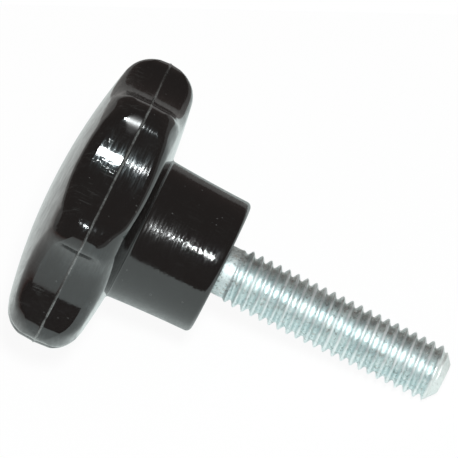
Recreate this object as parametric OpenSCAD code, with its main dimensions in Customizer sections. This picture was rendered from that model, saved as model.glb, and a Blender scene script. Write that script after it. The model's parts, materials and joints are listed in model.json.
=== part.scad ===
// Star knob screw: a seven-lobed knob moulded round the end of a threaded steel stud.
//
// Each piece is drawn on the knob's own axis, z. It points from the knob to the stud's
// tip, and z = 0 is the end face of the boss, which seats against the work.
// lay_down() then puts the screw as it comes to rest on a bench, with +Z up: on the
// undersides of two neighbouring lobes and on the stud's tip. The origin stays at the
// centre of the boss's end face, and the axis slopes down along +X.

/* [Star head] */
// Diameter of the circle round the lobes
head_d = 32; // [28:0.1:38]
// Number of lobes
lobe_count = 7; // [6:1:9]
// Radius of a lobe's tip, seen along the axis
lobe_r = 2.5; // [2:0.1:3.2]
// Depth of the valleys between the lobes
valley_depth = 2.95; // [1.8:0.05:3.4]
// Height of the crown's edge over the parting plane, at the lobe tips
crown_edge_h = 3.05; // [2.4:0.05:5]
// Rise of the domed crown from that edge to its middle
crown_rise = 2.3; // [0.8:0.1:4]
// Width of the rounding round the crown, as turned on the whole disc
crown_rim_w = 2.6; // [1:0.1:2.6]
// Height of the rounding round the crown
crown_rim_h = 2.4; // [1:0.1:2.8]
// Height of the underside's edge over the parting plane, at the lobe tips
under_edge_h = 3.1; // [2.4:0.05:5]
// Rise of the domed underside from that edge to the axis
under_rise = 1.7; // [0.4:0.1:3]
// Width of the rounding round the underside
under_rim_w = 2.7; // [1:0.05:2.8]
// Height of the rounding round the underside
under_rim_h = 2.7; // [1:0.1:2.9]
// Radius of the edges where the valleys cut through the disc
valley_edge_r = 1.4; // [0.3:0.1:1.6]
// Draft of the walls beside the parting line, in degrees
draft = 2.5; // [0:0.5:4]

/* [Parting line] */
// Width of the flash left by the mould
flash_w = 0.3; // [0.1:0.05:0.4]
// How far the flash stands out
flash_h = 0.12; // [0.05:0.01:0.3]

/* [Boss] */
// Diameter of the boss where it leaves the head
boss_d = 14.9; // [12:0.1:18]
// Diameter of the boss at its end face
boss_end_d = 14.2; // [11.5:0.1:17]
// Length of the boss, from the underside to its end face
boss_l = 9; // [5:0.5:14]
// Radius of the edge round the end face
boss_edge_r = 0.55; // [0.2:0.05:1.5]
// Radius of the fillet between boss and underside
boss_root_r = 0.3; // [0.2:0.1:1.5]
// Gap between the thread's outer diameter and the edge of the relief round the stud
relief_gap = 0.25; // [0.1:0.05:0.8]
// Depth of that relief in the boss's end face
relief_h = 0.4; // [0.2:0.05:1]

/* [Stud] */
// Outer diameter of the M6 thread
thread_d = 5.9; // [5.8:0.01:5.97]
// Diameter of the plain blank, which is also the neck beside the boss
blank_d = 5.2; // [4.8:0.05:5.35]
// Length of the stud beyond the boss
stud_l = 24.7; // [12:0.1:60]
// Length of the plain neck between boss and thread
neck_l = 1.3; // [0.5:0.1:3]
// Length over which the thread runs out beside the neck
runout_l = 0.6; // [0.35:0.05:1.2]
// Length of the chamfered point
tip_l = 1.1; // [0.6:0.1:2]
// Diameter of the flat at the end of the point
tip_flat_d = 3.2; // [2:0.1:4.4]

/* [Anchor] */
// Diameter of the knurled collar inside the knob, over its teeth
collar_d = 8.4; // [7:0.1:10]
// Length of the collar
collar_l = 6; // [3:0.5:8]
// Depth of the knurl's teeth
knurl_depth = 0.4; // [0.2:0.05:0.6]
// Number of teeth round the collar
knurl_count = 20; // [12:1:24]
// Width of the groove round the collar, which stops it pulling out
groove_w = 1.6; // [0.8:0.1:2]
// Moulded length between the collar and the boss's end face
collar_set = 3; // [1.5:0.5:5]

/* [Hidden] */

// Steps along a lobe's arc, along a valley's arc and round the rims
LOBE_STEPS = 8;
VALLEY_STEPS = 6;
RIM_STEPS = 6;
// Inset of the last of those rims, as a share of a lobe's radius, and the sizes of the rings
// inside it
RIM_SHARE = 0.55;
INNER_RINGS = [0.93, 0.8, 0.6, 0.35];
// Steps round the boss's corners, and halvings of the interval that holds the rest slope
CORNER_STEPS = 4;
SLOPE_STEPS = 24;
// Least straight wall left beside the flash
MIN_LAND = 0.05;
$fn = 96;

KNOB_COLOUR = [0.09, 0.09, 0.09];
STUD_COLOUR = [0.74, 0.77, 0.8];

// Plan of the star: lobe arcs and valley arcs that are tangent to each other
head_r = head_d / 2;
half_pitch = 180 / lobe_count;
lobe_c = head_r - lobe_r;
valley_floor = head_r - valley_depth;
valley_r = (lobe_r ^ 2 - lobe_c ^ 2 - valley_floor ^ 2 + 2 * lobe_c * valley_floor * cos(half_pitch))
    / (2 * (valley_floor - lobe_c * cos(half_pitch) - lobe_r));
valley_c = valley_floor + valley_r;
to_valley = polar(valley_c, half_pitch) - [lobe_c, 0];
lobe_sweep = atan2(to_valley.y, to_valley.x);
valley_sweep = lobe_sweep - half_pitch;

// The parting plane's place on the axis, by the boss's length
head_z = -boss_l - dome_h(boss_d / 2, under_edge_h, under_rise);

// How deep the stud reaches into the knob
anchor_l = collar_set + collar_l;

function polar(r, a) = [r * cos(a), r * sin(a)];

// A valley points along +x, so that the knob rests on the lobes beside it.
function lobe_angle(i) = half_pitch * (2 * i + 1);

// The star's outline, moved inwards by inset
function star(inset) = [
    for (i = [0 : lobe_count - 1])
        let (a = lobe_angle(i), b = a + half_pitch)
            each concat(
                [for (k = [0 : LOBE_STEPS])
                    polar(lobe_c, a) + polar(lobe_r - inset, a + lobe_sweep * (2 * k / LOBE_STEPS - 1))],
                [for (k = [1 : VALLEY_STEPS - 1])
                    polar(valley_c, b)
                        + polar(valley_r + inset, b + 180 + valley_sweep * (1 - 2 * k / VALLEY_STEPS))]
            )
];

// How far a point lies inside the star's outline
function inset_of(p) =
    let (
        a = atan2(p.y, p.x) - half_pitch,
        folded = polar(norm(p), abs(a - 2 * half_pitch * round(a / (2 * half_pitch)))),
        from_lobe = folded - [lobe_c, 0],
        to_centre = folded - polar(valley_c, half_pitch)
    )
    abs(atan2(from_lobe.y, from_lobe.x)) < lobe_sweep
        ? lobe_r - norm(from_lobe)
        : norm(to_centre) - valley_r;

// Height of a spherical dome that stands edge_h high at the lobe tips and rises to the axis
function dome_h(r, edge_h, rise) =
    let (ball_r = (head_r ^ 2 + rise ^ 2) / (2 * rise))
    edge_h + rise - ball_r + sqrt(ball_r ^ 2 - r ^ 2);

// How far a rounding of the given width and height falls, at a distance inside its edge
function rounding(inset, w, h) =
    let (t = 1 - min(max(inset, 0), w) / w)
    h * (1 - sqrt(1 - t ^ 2));

// Height of one face of the head over the parting plane: a dome whose rim is rounded all
// round the disc, and rounded more tightly where the outline leaves the disc's edge
function face_h(p, edge_h, rise, w, h) =
    let (
        disc = rounding(head_r - norm(p), w, h),
        outline = rounding(inset_of(p), valley_edge_r, valley_edge_r)
    )
    dome_h(norm(p), edge_h, rise) - min(norm([disc, outline]), edge_h - flash_w / 2 - MIN_LAND);

// One face of the head as rings of points, from the top of its drafted wall to near the
// axis. side is -1 for the crown and 1 for the underside. The first rings crowd towards the
// edge, where it curves.
function face_rings(side, edge_h, rise, w, h) =
    let (
        outer = (edge_h - valley_edge_r) * tan(draft),
        inner = RIM_SHARE * lobe_r,
        plans = concat(
            [for (k = [0 : RIM_STEPS]) star(outer + (inner - outer) * (k / RIM_STEPS) ^ 2)],
            [for (s = INNER_RINGS) s * star(inner)]
        )
    )
    [for (plan = plans) [for (p = plan) [p.x, p.y, head_z + side * face_h(p, edge_h, rise, w, h)]]];

// The flash's ridge, as three rings on and beside the parting plane
flash_rings = [
    for (k = [-1 : 1])
        [for (p = star(k == 0 ? -flash_h : 0)) [p.x, p.y, head_z + k * flash_w / 2]]
];

// The head's rings in order along the axis, from the crown's middle to the underside's
head_rings = concat(
    reversed(face_rings(-1, crown_edge_h, crown_rise, crown_rim_w, crown_rim_h)),
    flash_rings,
    face_rings(1, under_edge_h, under_rise, under_rim_w, under_rim_h)
);

function reversed(list) = [for (i = [len(list) - 1 : -1 : 0]) list[i]];

// Closed skin over a stack of rings that run the same way, with a point at each end
module skin(rings, first, last) {
    n = len(rings[0]);
    top = len(rings) * n + 1;
    function at(ring, k) = 1 + ring * n + k % n;
    polyhedron(
        points = [first, each [for (ring = rings) each ring], last],
        faces = [
            for (k = [0 : n - 1]) [0, at(0, k), at(0, k + 1)],
            for (i = [0 : len(rings) - 2])
                for (k = [0 : n - 1])
                    each [
                        [at(i, k), at(i + 1, k), at(i + 1, k + 1)],
                        [at(i, k), at(i + 1, k + 1), at(i, k + 1)]
                    ],
            for (k = [0 : n - 1]) [top, at(len(rings) - 1, k + 1), at(len(rings) - 1, k)]
        ]
    );
}

module star_head() {
    skin(
        head_rings,
        [0, 0, head_z - crown_edge_h - crown_rise],
        [0, 0, head_z + under_edge_h + under_rise]
    );
}

// Points of a round corner, an ellipse's arc about a centre from one angle to another
function arc(centre, rx, rz, from, to, steps) = [
    for (k = [0 : steps])
        let (a = from + (to - from) * k / steps)
            centre + [rx * cos(a), rz * sin(a)]
];

// The boss, tapered for the mould, with a fillet at its root and a rounded end edge
module boss_body() {
    root_r = boss_d / 2 + boss_root_r;
    root_z = head_z + dome_h(root_r, under_edge_h, under_rise);
    rotate_extrude()
        polygon(concat(
            [[0, 0], [0, head_z], [root_r, head_z]],
            arc([root_r, root_z + boss_root_r], boss_root_r, boss_root_r, 270, 180, CORNER_STEPS),
            arc([boss_end_d / 2 - boss_edge_r, -boss_edge_r], boss_edge_r, boss_edge_r, 0, 90, CORNER_STEPS)
        ));
}

// Countersink round the stud, so that the end face seats clear of the thread
module stud_relief() {
    relief_r = thread_d / 2 + relief_gap;
    rotate_extrude()
        polygon([[0, -relief_h], [blank_d / 2, -relief_h], [relief_r, 0], [relief_r, 1], [0, 1]]);
}

// The blank inside the knob, with a knurled collar that can't turn or pull out
module anchor() {
    translate([0, 0, -collar_set])
        mirror([0, 0, 1])
            difference() {
                linear_extrude(collar_l)
                    polygon([
                        for (k = [0 : 2 * knurl_count - 1])
                            polar(collar_d / 2 - knurl_depth * (k % 2), 180 * k / knurl_count)
                    ]);
                translate([0, 0, (collar_l - groove_w) / 2])
                    difference() {
                        cylinder(h = groove_w, d = collar_d + 1);
                        cylinder(h = groove_w, d = blank_d);
                    }
            }
}

// The end of the stud's outline, chamfered to a flat
tip_points = [[thread_d / 2, stud_l - tip_l], [tip_flat_d / 2, stud_l]];

// Slope of the axis at rest: the angle at which the lowest point of the head and the lowest
// point of the stud's tip are level. Halving the interval finds it.
function depth_at(points, slope) = max([for (p = points) p.x * cos(slope) + p.z * sin(slope)]);

head_points = [for (ring = head_rings) each ring];
tip_ring = [for (p = tip_points) [p.x, 0, p.y]];

function level_slope(low, high, steps) =
    let (mid = (low + high) / 2)
    steps == 0 ? mid
        : depth_at(head_points, mid) > depth_at(tip_ring, mid) ? level_slope(mid, high, steps - 1)
        : level_slope(low, mid, steps - 1);

rest_slope = level_slope(0, 60, SLOPE_STEPS);

module lay_down() {
    rotate([0, 90 + rest_slope, 0]) children();
}

module knob() {
    color(KNOB_COLOUR)
        lay_down()
            difference() {
                union() {
                    star_head();
                    boss_body();
                }
                translate([0, 0, -anchor_l])
                    cylinder(h = anchor_l + 1, d = blank_d);
                anchor();
                stud_relief();
            }
}

module threaded_stud() {
    color(STUD_COLOUR)
        lay_down() {
            translate([0, 0, -anchor_l])
                cylinder(h = anchor_l + neck_l + runout_l, d = blank_d);
            anchor();
            translate([0, 0, neck_l])
                rotate_extrude()
                    polygon(concat(
                        [[0, 0], [blank_d / 2, 0], [thread_d / 2, runout_l]],
                        [for (p = tip_points) p - [0, neck_l]],
                        [[0, stud_l - neck_l]]
                    ));
        }
}

knob();
threaded_stud();
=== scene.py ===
"""The looks of the star knob screw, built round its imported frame.

Both pieces are skins over rings of points round the screw's own axis, where z is 0 at the
boss's end face and grows towards the stud's tip. They are made in millimetres, and LAY_DOWN
turns them as the screw lies. The floor, the camera and the lamp are placed in metres.
"""

import json
import math
import random

import bpy
import numpy as np
from mathutils import Matrix, Vector


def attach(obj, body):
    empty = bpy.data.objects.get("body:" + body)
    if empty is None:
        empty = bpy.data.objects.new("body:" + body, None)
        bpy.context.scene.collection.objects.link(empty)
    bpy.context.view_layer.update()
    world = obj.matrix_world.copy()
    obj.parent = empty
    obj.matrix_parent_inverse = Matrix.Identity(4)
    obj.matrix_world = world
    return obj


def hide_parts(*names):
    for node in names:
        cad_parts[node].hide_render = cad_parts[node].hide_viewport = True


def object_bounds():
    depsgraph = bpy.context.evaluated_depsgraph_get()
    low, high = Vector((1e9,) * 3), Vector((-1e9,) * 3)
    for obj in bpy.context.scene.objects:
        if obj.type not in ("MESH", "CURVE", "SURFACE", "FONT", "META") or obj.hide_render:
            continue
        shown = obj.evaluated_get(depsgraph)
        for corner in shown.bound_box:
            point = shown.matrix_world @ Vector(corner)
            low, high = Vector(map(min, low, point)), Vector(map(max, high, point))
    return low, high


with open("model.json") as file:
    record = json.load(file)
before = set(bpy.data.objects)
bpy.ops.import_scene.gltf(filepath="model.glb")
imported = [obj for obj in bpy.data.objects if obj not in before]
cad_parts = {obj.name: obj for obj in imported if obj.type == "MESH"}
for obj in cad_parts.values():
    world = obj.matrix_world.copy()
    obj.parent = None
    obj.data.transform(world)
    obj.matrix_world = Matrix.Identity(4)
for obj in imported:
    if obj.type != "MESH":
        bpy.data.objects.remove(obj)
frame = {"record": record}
CAD_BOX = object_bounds()
MM = 0.001


def mount(name):
    return next(m for m in frame["record"]["mounts"] if m["name"] == name)


# ---------------------------------------------------------------- sizes, in millimetres

# The star head. A face is a dome, edge_h over the parting plane at the disc's edge and rise
# more in the middle. Its rim is rounded over rim_w and rim_h, and its wall keeps at least
# MIN_LAND over the flash, with so many degrees of draft.
HEAD_R = 16.0
LOBES = 7
LOBE_R = 2.5
VALLEY_DEPTH = 2.85
VALLEY_EDGE_R = 1.4
CROWN = {"side": -1, "edge_h": 3.05, "rise": 2.3, "rim_w": 2.6, "rim_h": 2.4, "draft": 2.5}
UNDERSIDE = {"side": 1, "edge_h": 3.1, "rise": 1.7, "rim_w": 2.7, "rim_h": 2.7, "draft": 3.4}
CROWN_CENTRE_R = 1.5
MIN_LAND = 0.05

# The mould's flash. Each point of its section has a place across it, a share of its height,
# and how worn the plastic is there.
FLASH_W, FLASH_H = 0.3, 0.12
FLASH_LEAST, FLASH_WANDER = 0.35, 0.12
FLASH_SECTION = ((-1, 0, 0), (-0.35, 0.6, 0.8), (0, 1, 1), (0.35, 0.6, 0.8), (1, 0, 0))
HEIGHT_WAVES, WANDER_WAVES = (3, 8, 17, 31, 52), (2, 5, 13, 29)
SEED = 7

# The boss, whose taper is slightly hollow
BOSS_R, BOSS_END_R = 7.45, 7.1
BOSS_L = 9.0
BOSS_HOLLOW = 0.6
BOSS_EDGE_R, BOSS_ROOT_R = 0.55, 0.3
RELIEF_GAP, RELIEF_H = 0.25, 0.4

# The stud, its M6 thread and its anchor inside the knob. THREAD_PHASE says where along the
# stud the crests lie.
THREAD_R = mount("stud")["dims"]["r_mm"]
PITCH, THREAD_DEPTH = 1.0, 0.53
CREST_W, FLANK_W, CREST_SOFT = 0.16, 0.3, 0.04
THREAD_PHASE = -0.13
BLANK_R = 2.6
STUD_L, NECK_L, RUNOUT_L = 24.7, 1.0, 1.2
TIP_L, TIP_FLAT_R = 1.1, 1.6
COLLAR_R, COLLAR_L, COLLAR_SET = 4.2, 6.0, 3.0
KNURL_DEPTH, KNURLS = 0.4, 20
GROOVE_W = 1.6
ANCHOR_END = (0, 0, -COLLAR_SET - COLLAR_L)

# How finely the skins are drawn
LOBE_STEPS, VALLEY_STEPS = 22, 18
AROUND = LOBES * (LOBE_STEPS + VALLEY_STEPS)
RIM_STEPS, CROWN_STEPS, UNDERSIDE_STEPS = 12, 14, 9
RIM_REACH = 0.55 * LOBE_R
WALL_SHARES = (0.02, 0.1, 0.3, 0.7, 0.9, 0.98)
CORNER_STEPS, BOSS_STEPS = 6, 11
STUD_AROUND = 120
ROWS_PER_PITCH = 20
SHARP_ANGLE = math.radians(38)


def polar(r, a):
    return np.stack([r * np.cos(a), r * np.sin(a)], axis=-1)


# ---------------------------------------------------------------- plan of the star

# Lobe arcs and the valley arcs that touch them, and how far their centres are from the axis
HALF = math.pi / LOBES
LOBE_C = HEAD_R - LOBE_R
VALLEY_FLOOR = HEAD_R - VALLEY_DEPTH
VALLEY_R = (
    LOBE_R**2 - LOBE_C**2 - VALLEY_FLOOR**2 + 2 * LOBE_C * VALLEY_FLOOR * math.cos(HALF)
) / (2 * (VALLEY_FLOOR - LOBE_C * math.cos(HALF) - LOBE_R))
VALLEY_C = VALLEY_FLOOR + VALLEY_R
LOBE_SWEEP = math.atan2(*(polar(VALLEY_C, HALF) - (LOBE_C, 0))[::-1])
VALLEY_SWEEP = LOBE_SWEEP - HALF


def star(inset):
    """The head's outline moved inwards, with a valley along +x."""
    on_lobe = LOBE_SWEEP * (2 * np.arange(LOBE_STEPS + 1) / LOBE_STEPS - 1)
    on_valley = VALLEY_SWEEP * (1 - 2 * np.arange(1, VALLEY_STEPS) / VALLEY_STEPS)
    points = []
    for i in range(LOBES):
        lobe = HALF * (2 * i + 1)
        valley = lobe + HALF
        facing_in = valley + math.pi + on_valley
        points.append(polar(LOBE_C, lobe) + polar(LOBE_R - inset, lobe + on_lobe))
        points.append(polar(VALLEY_C, valley) + polar(VALLEY_R + inset, facing_in))
    return np.concatenate(points)


def inset_of(plan):
    """How far each point lies inside the outline."""
    a = np.arctan2(plan[:, 1], plan[:, 0]) - HALF
    folded = polar(np.hypot(*plan.T), np.abs(a - 2 * HALF * np.round(a / (2 * HALF))))
    from_lobe = folded - (LOBE_C, 0)
    from_valley = folded - polar(VALLEY_C, HALF)
    beside_lobe = np.abs(np.arctan2(from_lobe[:, 1], from_lobe[:, 0])) < LOBE_SWEEP
    return np.where(
        beside_lobe, LOBE_R - np.hypot(*from_lobe.T), np.hypot(*from_valley.T) - VALLEY_R
    )


# ---------------------------------------------------------------- heights of the head's faces


def dome_h(r, face):
    ball_r = (HEAD_R**2 + face["rise"] ** 2) / (2 * face["rise"])
    return face["edge_h"] + face["rise"] - ball_r + np.sqrt(ball_r**2 - r**2)


def rounding(inset, w, h):
    """How far an edge that is rounded over w and h has dropped, at so much inside it."""
    t = 1 - np.clip(inset, 0, w) / w
    return h * (1 - np.sqrt(1 - t**2))


def face_h(plan, face):
    """Height over the parting plane: the dome, less the disc's rim and the valleys' edges."""
    r = np.hypot(*plan.T)
    disc = rounding(HEAD_R - r, face["rim_w"], face["rim_h"])
    outline = rounding(inset_of(plan), VALLEY_EDGE_R, VALLEY_EDGE_R)
    drop = np.minimum(np.hypot(disc, outline), face["edge_h"] - FLASH_W / 2 - MIN_LAND)
    return dome_h(r, face) - drop


# The parting plane, placed so that the underside meets the boss's root
HEAD_Z = -BOSS_L - dome_h(BOSS_R, UNDERSIDE)

# ---------------------------------------------------------------- skins


def lay_down():
    """Turns the screw's own axes into the frame's: z along the stud, x down, y kept."""
    seat = mount("seat")
    along = Vector(seat["axis"]).normalized()
    across = Vector((0, 1, 0))
    down = across.cross(along)
    turn = Matrix((down, across, along)).transposed().to_4x4()
    return Matrix.Translation(seat["pos_m"]) @ turn


LAY_DOWN = lay_down()
AXIS = LAY_DOWN.col[2].to_3d()


def skin(name, first, rings, last, material):
    """A closed mesh over rings of points that run the same way, with a point at each end."""
    n = len(rings[0])
    points = np.concatenate([[first], *rings, [last]])
    k = np.arange(n)
    k1 = (k + 1) % n
    faces = [(0, 1 + j, 1 + i) for i, j in zip(k.tolist(), k1.tolist())]
    for ring in range(len(rings) - 1):
        low = 1 + ring * n
        high = low + n
        faces += zip(
            (low + k).tolist(), (low + k1).tolist(), (high + k1).tolist(), (high + k).tolist()
        )
    top = len(points) - 1
    faces += [(top, top - n + i, top - n + j) for i, j in zip(k.tolist(), k1.tolist())]
    mesh = bpy.data.meshes.new(name)
    mesh.from_pydata((points * MM).tolist(), [], faces)
    mesh.transform(LAY_DOWN)
    mesh.polygons.foreach_set("use_smooth", [True] * len(mesh.polygons))
    mesh.set_sharp_from_angle(angle=SHARP_ANGLE)
    mesh.materials.append(material)
    mesh.update()
    piece = bpy.data.objects.new(name, mesh)
    bpy.context.scene.collection.objects.link(piece)
    return piece


def at_height(plan, z):
    return np.column_stack([plan, np.broadcast_to(z, len(plan))])


def turned(profile, angles):
    """Rings of a turned surface through pairs of radius and height."""
    return [at_height(polar(r, angles), z) for r, z in profile]


def arc(r, z, radius, start, end):
    """Radius and height along a round corner, with angles in degrees."""
    a = np.radians(np.linspace(start, end, CORNER_STEPS + 1))
    return np.column_stack([r + radius * np.cos(a), z + radius * np.sin(a)])


# Angles of round rings. The knob's start near the star outline's first point.
KNOB_ANGLES = math.radians(18) + np.arange(AROUND) * 2 * math.pi / AROUND
STUD_ANGLES = np.arange(STUD_AROUND) * 2 * math.pi / STUD_AROUND

# ---------------------------------------------------------------- the anchor in the knob


def knurled_r(angles):
    """Radius of the knurled collar, whose straight flanks join tips and roots."""
    tooth = math.pi / KNURLS
    from_tip = 1 - np.abs((angles / tooth) % 2 - 1)
    tip = np.stack([np.full_like(angles, COLLAR_R), np.zeros_like(angles)], -1)
    root = (COLLAR_R - KNURL_DEPTH) * np.array([math.cos(tooth), math.sin(tooth)])
    flank = tip + (root - tip) * from_tip[:, None]
    return np.hypot(*flank.T)


def collar_rings(angles):
    """The collar's grooved outline, from the boss's side inwards."""
    knurl = polar(knurled_r(angles), angles)
    blank = polar(BLANK_R, angles)
    top = -COLLAR_SET
    groove = top - (COLLAR_L - GROOVE_W) / 2
    return [
        at_height(blank, top),
        at_height(knurl, top),
        at_height(knurl, groove),
        at_height(blank, groove),
        at_height(blank, groove - GROOVE_W),
        at_height(knurl, groove - GROOVE_W),
        at_height(knurl, top - COLLAR_L),
    ]


# ---------------------------------------------------------------- the knob


def face_rings(face, inner_r, inner_steps):
    """A face of the head, from the flash to a circle of radius inner_r."""
    wall = (face["edge_h"] - VALLEY_EDGE_R) * math.tan(math.radians(face["draft"]))
    shares = [(k / RIM_STEPS) ** 2 for k in range(RIM_STEPS + 1)]
    plans = [star(wall + (RIM_REACH - wall) * share) for share in shares]
    to_circle = polar(inner_r, KNOB_ANGLES)
    plans += [
        plans[-1] + (to_circle - plans[-1]) * k / inner_steps for k in range(1, inner_steps + 1)
    ]
    return [at_height(plan, HEAD_Z + face["side"] * face_h(plan, face)) for plan in plans]


def uneven(rng, waves):
    """A smooth closed curve of random height from 0 to 1, round the head."""
    turn = np.arange(AROUND) * 2 * math.pi / AROUND
    total = np.zeros(AROUND)
    for wave in waves:
        total += rng.uniform(0.5, 1) * np.sin(wave * turn + rng.uniform(0, 2 * math.pi))
    return (total - total.min()) / np.ptp(total)


def flash_rings():
    """The mould's parting line: a thin ragged ridge."""
    rng = random.Random(SEED)
    height = FLASH_H * (FLASH_LEAST + (1 - FLASH_LEAST) * uneven(rng, HEIGHT_WAVES))
    wander = FLASH_WANDER * (uneven(rng, WANDER_WAVES) - 0.5)
    rings = []
    for across, share, _ in FLASH_SECTION:
        plan = star(0) + (star(-1) - star(0)) * (height * share)[:, None]
        rings.append(at_height(plan, HEAD_Z + across * FLASH_W / 2 + wander * (share > 0)))
    return rings


def wall_rings(first, last):
    """Rings on the straight wall between two rings, close to both, so that it shades flat."""
    return [first + (last - first) * share for share in WALL_SHARES]


def boss_profile(root_r):
    """Radius and height from the head to the stud: fillet, hollow taper, edge and relief."""
    root_z = HEAD_Z + dome_h(root_r, UNDERSIDE)
    root = arc(root_r, root_z + BOSS_ROOT_R, BOSS_ROOT_R, 270, 180)
    edge = arc(BOSS_END_R - BOSS_EDGE_R, -BOSS_EDGE_R, BOSS_EDGE_R, 0, 90)
    side = [
        (
            BOSS_END_R + (root[-1][0] - BOSS_END_R) * (1 - t) * (1 - BOSS_HOLLOW * t),
            root[-1][1] * (1 - t) + edge[0][1] * t,
        )
        for t in np.linspace(0, 1, BOSS_STEPS + 1)[1:-1]
    ]
    relief_r = THREAD_R + RELIEF_GAP
    mid_face_r = (BOSS_END_R - BOSS_EDGE_R + relief_r) / 2
    return [*root[1:], *side, *edge, (mid_face_r, 0), (relief_r, 0), (BLANK_R, -RELIEF_H)]


def make_knob(material):
    root_r = BOSS_R + BOSS_ROOT_R
    crown = face_rings(CROWN, CROWN_CENTRE_R, CROWN_STEPS)[::-1]
    under = face_rings(UNDERSIDE, root_r, UNDERSIDE_STEPS)
    flash = flash_rings()
    crown += wall_rings(crown[-1], flash[0])
    rings = [
        *crown,
        *flash,
        *wall_rings(flash[-1], under[0]),
        *under,
        *turned(boss_profile(root_r), KNOB_ANGLES),
        *collar_rings(KNOB_ANGLES),
    ]
    top = (0, 0, HEAD_Z - CROWN["edge_h"] - CROWN["rise"])
    knob = skin("knob_skin", top, rings, ANCHOR_END, material)
    wear = np.zeros(len(knob.data.vertices), np.float32)
    first = 1 + len(crown) * AROUND
    flash_wear = [worn for _, _, worn in FLASH_SECTION]
    wear[first : first + len(flash) * AROUND] = np.repeat(flash_wear, AROUND)
    knob.data.attributes.new("flash", "FLOAT", "POINT").data.foreach_set("value", wear)
    return knob


# ---------------------------------------------------------------- the stud


def thread_r(z, angles):
    """Radius of the rolled thread: right-hand, with narrow rounded crests and wider roots."""
    turns = (z - THREAD_PHASE) / PITCH - angles / (2 * math.pi)
    from_crest = np.abs(turns - np.round(turns)) * PITCH
    depths = [
        np.clip((from_crest + shift - CREST_W / 2) / FLANK_W, 0, 1)
        for shift in (-CREST_SOFT, 0, CREST_SOFT)
    ]
    return THREAD_R - THREAD_DEPTH * np.mean(depths, axis=0)


def make_stud(material):
    rows = int((STUD_L - NECK_L) / PITCH * ROWS_PER_PITCH)
    rings = collar_rings(STUD_ANGLES)[::-1] + turned([(BLANK_R, 0)], STUD_ANGLES)
    for z in np.linspace(NECK_L, STUD_L, rows + 1):
        grown = np.clip((z - NECK_L) / RUNOUT_L, 0, 1)
        grown = grown**2 * (3 - 2 * grown)
        r = BLANK_R + grown * (thread_r(z, STUD_ANGLES) - BLANK_R)
        chamfer = TIP_FLAT_R + (STUD_L - z) / TIP_L * (THREAD_R - TIP_FLAT_R)
        rings.append(at_height(polar(np.minimum(r, chamfer), STUD_ANGLES), z))
    return skin("stud_skin", ANCHOR_END, rings, (0, 0, STUD_L), material)


# ---------------------------------------------------------------- nodes of materials


class Nodes:
    """A short way to write a node tree. A value is a number, a colour or a node's output."""

    def __init__(self, tree):
        self.tree = tree

    def node(self, kind, **settings):
        made = self.tree.nodes.new(kind)
        for name, value in settings.items():
            setattr(made, name, value)
        return made

    def put(self, value, socket):
        if isinstance(value, bpy.types.NodeSocket):
            self.tree.links.new(value, socket)
        else:
            socket.default_value = value

    def fill(self, sockets, *values):
        for value, socket in zip(values, sockets):
            self.put(value, socket)

    def math(self, operation, *values):
        made = self.node("ShaderNodeMath", operation=operation)
        self.fill(made.inputs, *values)
        return made.outputs[0]

    def times(self, first, *others):
        for other in others:
            first = self.math("MULTIPLY", first, other)
        return first

    def most(self, first, *others):
        for other in others:
            first = self.math("MAXIMUM", first, other)
        return first

    def line(self, value, slope, start):
        return self.math("MULTIPLY_ADD", value, slope, start)

    def vector(self, operation, *values, result="Vector"):
        made = self.node("ShaderNodeVectorMath", operation=operation)
        self.fill(made.inputs, *values)
        return made.outputs[result]

    def smooth(self, value, low, high, to_low=0.0, to_high=1.0):
        """A soft step from to_low to to_high, as the value goes from low to high."""
        made = self.node("ShaderNodeMapRange", interpolation_type="SMOOTHSTEP")
        self.fill(made.inputs, value, low, high, to_low, to_high)
        return made.outputs[0]

    def mix(self, share, first, second):
        """A colour between two others."""
        made = self.node("ShaderNodeMix", data_type="RGBA")
        self.fill((made.inputs[0], *made.inputs[6:8]), share, first, second)
        return made.outputs[2]

    def mix_shaders(self, share, first, second):
        made = self.node("ShaderNodeMixShader")
        self.fill(made.inputs, share, first, second)
        return made.outputs[0]

    def split(self, coordinates):
        """One of the kinds of texture coordinates, as X, Y and Z."""
        made = self.node("ShaderNodeSeparateXYZ")
        self.put(self.node("ShaderNodeTexCoord").outputs[coordinates], made.inputs[0])
        return made.outputs


class Material(Nodes):
    def __init__(self, name):
        self.material = bpy.data.materials.new(name)
        self.material.use_nodes = True
        super().__init__(self.material.node_tree)
        self.surface = self.tree.nodes["Principled BSDF"]

    def set(self, name, value):
        self.put(value, self.surface.inputs[name])

    def own_axes(self):
        """The place on the screw's own axes, in millimetres: along, round and away from it.

        The angle round it comes last. It is 0 straight up and grows towards +y.
        """
        place = self.node("ShaderNodeTexCoord").outputs["Object"]
        down, across, along = (
            self.vector("DOT_PRODUCT", place, axis / MM, result="Value")
            for axis in LAY_DOWN.to_3x3().transposed()
        )
        squares = [self.times(part, part) for part in (down, across)]
        radius = self.math("SQRT", self.math("ADD", *squares))
        angle = self.math("ARCTAN2", across, self.times(down, -1.0))
        self.place = (along, self.times(angle, radius), radius)
        return (*self.place, angle)

    def noise(self, scales, detail=2.0, rough=0.5):
        """Noise from 0 to 1, with so many waves a millimetre along, round and away."""
        vector = self.node("ShaderNodeCombineXYZ")
        self.fill(vector.inputs, *map(self.times, self.place, scales))
        made = self.node("ShaderNodeTexNoise")
        self.put(vector.outputs[0], made.inputs["Vector"])
        self.put(1.0, made.inputs["Scale"])
        self.put(detail, made.inputs["Detail"])
        self.put(rough, made.inputs["Roughness"])
        return made.outputs[0]

    def bump(self, *heights):
        """Chains bumps, each a pair of a height from 0 to 1 and its size in millimetres."""
        normal = None
        for height, size in heights:
            made = self.node("ShaderNodeBump")
            self.put(size * MM, made.inputs["Distance"])
            self.put(height, made.inputs["Height"])
            if normal:
                self.put(normal, made.inputs["Normal"])
            normal = made.outputs[0]
        self.set("Normal", normal)
        return normal


# ---------------------------------------------------------------- black phenolic

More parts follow.
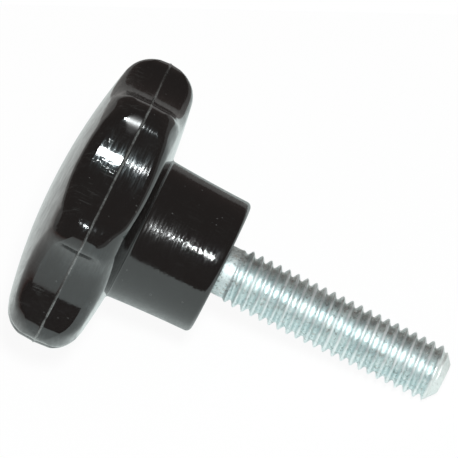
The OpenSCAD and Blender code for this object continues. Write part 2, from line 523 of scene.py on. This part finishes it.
# The plastic, how grey its marks are, and the haze's level, roughness and stretch
BLACK, WORN_GREY = (0.006, 0.0058, 0.0057, 1), (0.17, 0.18, 0.175, 1)
SCRATCH_SHOWS, DUST_SHOWS = 0.12, 0.3
HAZE, HAZE_ROUGHNESS, HAZE_STRETCH = 0.19, 0.19, 0.5
HAZE_TINT = (0.7, 0.92, 1.0, 1)
COAT_IOR = 1.72

# The coat's roughness between the fine lines and on them, how much more the boss has near
# the head, and the roughness on the flash and in a spot worn dull on the uppermost lobe
GLOSS, LINES_GLOSS = 0.05, 0.13
BOSS_DULLER = 0.05
FLASH_GLOSS = 0.33
SPOT_GLOSS = 0.36

# That spot's place from the parting plane and round the head, and how far it reaches
SPOT_ALONG, SPOT_ROUND = -0.7, -1.5
SPOT_R, SPOT_CORE_R = 1.3, 0.5


def make_phenolic():
    """Glossy black moulding compound, with fine marks along the screw and hazy patches."""
    m = Material("black_phenolic")
    along, round_it, radius, _ = m.own_axes()
    on_boss = m.times(
        m.smooth(along, HEAD_Z + 3.5, HEAD_Z + 4.5),
        m.smooth(radius, BOSS_R + 0.8, BOSS_R + 0.3),
    )
    on_rim = m.smooth(radius, HEAD_R - 2, HEAD_R - 1)

    patches = m.noise((0.35, 0.3, 0.3), 3.0, 0.6)
    streaks = m.noise((0.6, 6.0, 1.0), 3.0, 0.7)
    scratched = m.times(
        m.smooth(streaks, 0.54, 0.64),
        m.smooth(patches, 0.45, 0.58),
        m.smooth(along, HEAD_Z + 0.2, HEAD_Z - 0.4, 0.2, 1.0),
    )
    lines = m.noise((5.5, 0.7, 0.7), 3.0, 0.65)
    peel = m.noise((0.5, 0.5, 0.5), 1.0)
    grain = m.noise((6.0, 6.0, 6.0))
    ripple = m.times(m.noise((3.0, 2.2, 2.2)), m.line(on_boss, 0.7, 0.3))
    dust = m.smooth(m.noise((2.7, 2.7, 2.7), 0.0), 0.83, 0.87)

    flash = m.times(
        m.node("ShaderNodeAttribute", attribute_name="flash").outputs["Fac"],
        m.smooth(grain, 0.35, 0.6, 0.3, 1.0),
        m.smooth(patches, 0.4, 0.58, 0.2, 1.0),
    )
    worn = m.most(flash, m.times(scratched, SCRATCH_SHOWS), m.times(dust, DUST_SHOWS))
    m.set("Base Color", m.mix(worn, BLACK, WORN_GREY))

    # The base layer gives the haze round the highlights, which the fine marks stretch
    haze = m.times(
        m.smooth(patches, 0.4, 0.6, 0.3, 1.0),
        m.smooth(lines, 0.42, 0.65, 0.15, 1.0),
        m.line(on_boss, -0.8, 1.0),
    )
    m.set("Specular IOR Level", m.times(haze, HAZE))
    m.set("Specular Tint", HAZE_TINT)
    m.set("Roughness", HAZE_ROUGHNESS)
    m.set("Anisotropic", HAZE_STRETCH)
    normal = m.node("ShaderNodeNewGeometry").outputs["Normal"]
    m.set("Tangent", m.vector("CROSS_PRODUCT", normal, AXIS))

    # The coat gives the gloss
    gloss = m.smooth(lines, 0.42, 0.68, GLOSS, LINES_GLOSS)
    gloss = m.line(on_boss, m.smooth(along, -3.5, -7.5, 0.0, BOSS_DULLER), gloss)
    off_spot = (
        m.math("SUBTRACT", along, HEAD_Z + SPOT_ALONG),
        m.math("SUBTRACT", round_it, SPOT_ROUND),
    )
    off_spot = m.math("SQRT", m.math("ADD", *[m.times(part, part) for part in off_spot]))
    spot = m.times(m.smooth(off_spot, SPOT_R, SPOT_CORE_R), on_rim)
    gloss = m.most(gloss, m.times(flash, FLASH_GLOSS), m.times(spot, SPOT_GLOSS))
    grazing = m.node("ShaderNodeLayerWeight").outputs["Facing"]
    dulled = m.times(m.smooth(grazing, 0.6, 0.95), m.line(on_boss, 0.4, 0.25))
    m.set("Coat Weight", m.math("SUBTRACT", 1.0, dulled))
    m.set("Coat IOR", COAT_IOR)
    m.set("Coat Roughness", gloss)

    boss_lines = m.times(lines, on_boss)
    relief = m.bump(
        (peel, 0.006), (grain, 0.001), (scratched, 0.002), (boss_lines, 0.004), (ripple, 0.009)
    )
    m.set("Coat Normal", relief)
    return m.material


# ---------------------------------------------------------------- zinc plate

# The plate's colours, and how strongly stains, a browner top, pits and the tip's paleness show
ZINC, ZINC_PALE = (0.67, 0.78, 0.79, 1), (0.77, 0.855, 0.855, 1)
STAIN, BROWN_ON_TOP, BROWN_COLOUR = 0.45, 0.42, (0.42, 0.36, 0.32, 1)
PITS, PIT_COLOUR = 0.8, (0.28, 0.32, 0.32, 1)
BARE_COLOUR = (0.9, 0.95, 0.95, 1)
TIP, TIP_COLOUR = 0.7, (0.85, 0.88, 0.86, 1)

# Oxide, which shines less like metal: everywhere, and on the marks. Then the roughness.
OXIDE, CREST_OXIDE, PALE_OXIDE, NECK_OXIDE, TIP_OXIDE = 0.06, 0.25, 0.3, 0.3, 0.45
SMOOTH_ZINC, ROUGH_ZINC, NECK_ROUGHER = 0.44, 0.54, 0.1
ZINC_STRETCH = 0.3


def make_zinc():
    """Bright zinc plate on rolled steel, stained, pitted and paler where it is worn."""
    m = Material("zinc_plate")
    along, _, radius, angle = m.own_axes()
    patches = m.noise((0.5, 0.6, 0.5), 3.0, 0.6)
    grain = m.noise((3.5, 3.0, 3.0), 3.0, 0.75)
    rolled = m.noise((7.0, 1.0, 2.0), 3.0, 0.6)
    crest = m.times(
        m.smooth(radius, THREAD_R - 0.2, THREAD_R - 0.04),
        m.smooth(patches, 0.4, 0.65, 0.4, 1.0),
    )
    neck = m.smooth(along, 2.0, 0.8)
    tip = m.smooth(along, STUD_L - TIP_L - 0.2, STUD_L - TIP_L + 0.1)
    brown_share = m.smooth(m.noise((1.5, 1.8, 1.0), 3.0, 0.65), 0.53, 0.68)
    # Browner over the upper side too, added to the stains at random
    brown_share = m.line(brown_share, STAIN, m.smooth(angle, -0.3, 0.35, 0.0, BROWN_ON_TOP))
    pale = m.smooth(grain, 0.56, 0.66)

    colour = m.mix(m.smooth(patches, 0.3, 0.7), ZINC, ZINC_PALE)
    colour = m.mix(brown_share, colour, BROWN_COLOUR)
    colour = m.mix(m.smooth(grain, 0.46, 0.34, 0.0, PITS), colour, PIT_COLOUR)
    colour = m.mix(m.most(crest, pale), colour, BARE_COLOUR)
    m.set("Base Color", m.mix(m.times(tip, TIP), colour, TIP_COLOUR))
    oxide = m.most(
        m.times(crest, CREST_OXIDE),
        m.times(pale, PALE_OXIDE),
        OXIDE,
        m.times(neck, NECK_OXIDE),
        m.times(tip, TIP_OXIDE),
    )
    m.set("Metallic", m.math("SUBTRACT", 1.0, oxide))
    rough = m.smooth(patches, 0.35, 0.65, SMOOTH_ZINC, ROUGH_ZINC)
    m.set("Roughness", m.line(neck, NECK_ROUGHER, rough))
    m.set("Anisotropic", ZINC_STRETCH)
    m.set("Tangent", m.vector("NORMALIZE", AXIS))
    m.bump((grain, 0.03), (rolled, 0.045))
    return m.material


# ---------------------------------------------------------------- stage, light and camera

WHITE = (1, 1, 1, 1)

# The white sheet ends SHEET_BACK behind the screw and SHEET_RIGHT beside it. Seen in
# reflections its glow is painted to dim and redden to the left, from DIM_FROM on: painted
# shade.
SHEET_BACK, SHEET_RIGHT, SHEET_FAR = 0.047, 0.09, 3.0
SHEET_COLOUR, SHEET_GLOW = (0.95, 0.95, 0.95, 1), 0.94
SHEET_SEEN, SHEET_FAR_SEEN = (0.9, 1, 0.985, 1), (0.16, 0.02, 0, 1)
DIM_FROM, DIM_W = 0.012, 0.06
ROOM_COLOUR = (0.12, 0.095, 0.088, 1)
TABLE_COLOUR = (0.32, 0.31, 0.3, 1)

# The camera, with its angles in degrees, and the picture's width at the screw
VIEW_AZIMUTH, VIEW_ELEVATION, VIEW_ROLL = 17.7, 46.3, 1.28
CAMERA_DISTANCE = 0.71
FRAME_WIDTH = 0.04548
AIM_RIGHT, AIM_UP = 0.00082, 0.00391
SENSOR_W = 36

# The lamp, placed in degrees from the camera and at a share of its distance
LAMP_ABOVE, LAMP_LEFT = 10, -4.9
LAMP_NEARER = 0.85
LAMP_W, LAMP_H, LAMP_POWER = 0.085, 0.11, 3.9
LAMP_COLOUR = (0.96, 1, 1.0)


def make_floor():
    """A white sheet, which ends just behind the picture and goes on to the horizon in front."""
    a = math.radians(VIEW_AZIMUTH)
    right, away = Vector((math.cos(a), math.sin(a), 0)), Vector((-math.sin(a), math.cos(a), 0))
    low = Vector((0, 0, CAD_BOX[0].z))
    ends = (
        (-SHEET_FAR, -SHEET_FAR),
        (SHEET_RIGHT, -SHEET_FAR),
        (SHEET_RIGHT, SHEET_BACK),
        (-SHEET_FAR, SHEET_BACK),
    )
    corners = [low + right * x + away * y for x, y in ends]
    mesh = bpy.data.meshes.new("floor")
    mesh.from_pydata(corners, [], [(0, 1, 2, 3)])
    floor = bpy.data.objects.new("floor", mesh)
    bpy.context.scene.collection.objects.link(floor)

    m = Material("floor_white")
    m.set("Base Color", SHEET_COLOUR)
    m.set("Roughness", 1.0)
    m.set("Specular IOR Level", 0.0)
    path = m.node("ShaderNodeLightPath")
    seen = m.most(path.outputs["Is Camera Ray"], path.outputs["Is Glossy Ray"])
    # Painted shade: the glow that reflections see dims and reddens to the left of DIM_FROM
    left = m.most(m.math("SUBTRACT", -DIM_FROM, m.split("Object")["X"]), 0.0)
    near = m.math("DIVIDE", DIM_W, m.math("ADD", left, DIM_W))
    reflected = m.mix(near, SHEET_FAR_SEEN, SHEET_SEEN)
    glow = m.node("ShaderNodeEmission")
    m.put(m.mix(path.outputs["Is Glossy Ray"], WHITE, reflected), glow.inputs[0])
    lit = m.mix_shaders(m.times(seen, SHEET_GLOW), m.surface.outputs[0], glow.outputs[0])
    m.put(lit, m.tree.nodes["Material Output"].inputs["Surface"])
    mesh.materials.append(m.material)


def make_world():
    """A dim brown room over a paler table, with white to the camera."""
    world = bpy.data.worlds.new("room")
    bpy.context.scene.world = world
    world.use_nodes = True
    w = Nodes(world.node_tree)
    room = w.tree.nodes["Background"]
    below = w.math("LESS_THAN", w.split("Generated")["Z"], 0.0)
    w.put(w.mix(below, ROOM_COLOUR, TABLE_COLOUR), room.inputs["Color"])
    backdrop = w.node("ShaderNodeBackground")
    w.put(WHITE, backdrop.inputs["Color"])
    to_camera = w.node("ShaderNodeLightPath").outputs["Is Camera Ray"]
    sky = w.mix_shaders(to_camera, room.outputs[0], backdrop.outputs[0])
    w.put(sky, w.tree.nodes["World Output"].inputs["Surface"])


def looking(way):
    """How a camera or a lamp is turned to look that way."""
    return way.to_track_quat("-Z", "Y")


def set_up(name, data, location, turn):
    thing = bpy.data.objects.new(name, data)
    thing.location = location
    thing.rotation_mode = "QUATERNION"
    thing.rotation_quaternion = turn
    bpy.context.scene.collection.objects.link(thing)
    return thing


def make_camera():
    """Returns the picture's right and up, and the way from the screw back to the camera."""
    a, e = math.radians(VIEW_AZIMUTH), math.radians(VIEW_ELEVATION)
    back = Vector((math.sin(a) * math.cos(e), -math.cos(a) * math.cos(e), math.sin(e)))
    turn = looking(-back) @ Matrix.Rotation(math.radians(VIEW_ROLL), 3, "Z").to_quaternion()
    right, up = turn @ Vector((1, 0, 0)), turn @ Vector((0, 1, 0))
    location = right * AIM_RIGHT + up * AIM_UP + back * CAMERA_DISTANCE
    data = bpy.data.cameras.new("camera")
    data.sensor_width = SENSOR_W
    data.lens = SENSOR_W * CAMERA_DISTANCE / FRAME_WIDTH
    bpy.context.scene.camera = set_up("camera", data, location, turn)
    return right, up, back


def make_lamp(right, up, back):
    """The one lamp, the camera's flash, just above it."""
    data = bpy.data.lights.new("flash", "AREA")
    data.shape = "ELLIPSE"
    data.size, data.size_y = LAMP_W, LAMP_H
    data.energy = LAMP_POWER
    data.color = LAMP_COLOUR
    above, left = (math.tan(math.radians(turn)) for turn in (LAMP_ABOVE, LAMP_LEFT))
    way = (back + up * above - right * left).normalized()
    set_up("flash", data, way * CAMERA_DISTANCE * LAMP_NEARER, looking(-way))


# ---------------------------------------------------------------- the scene

knob = make_knob(make_phenolic())
stud = make_stud(make_zinc())
for piece, node, material_slot in (
    (knob, "knob", "black_phenolic"),
    (stud, "threaded_stud", "zinc_plated_steel"),
):
    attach(piece, "root")
    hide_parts(node)

make_floor()
make_world()
make_lamp(*make_camera())
bpy.context.scene.view_settings.view_transform = "Standard"
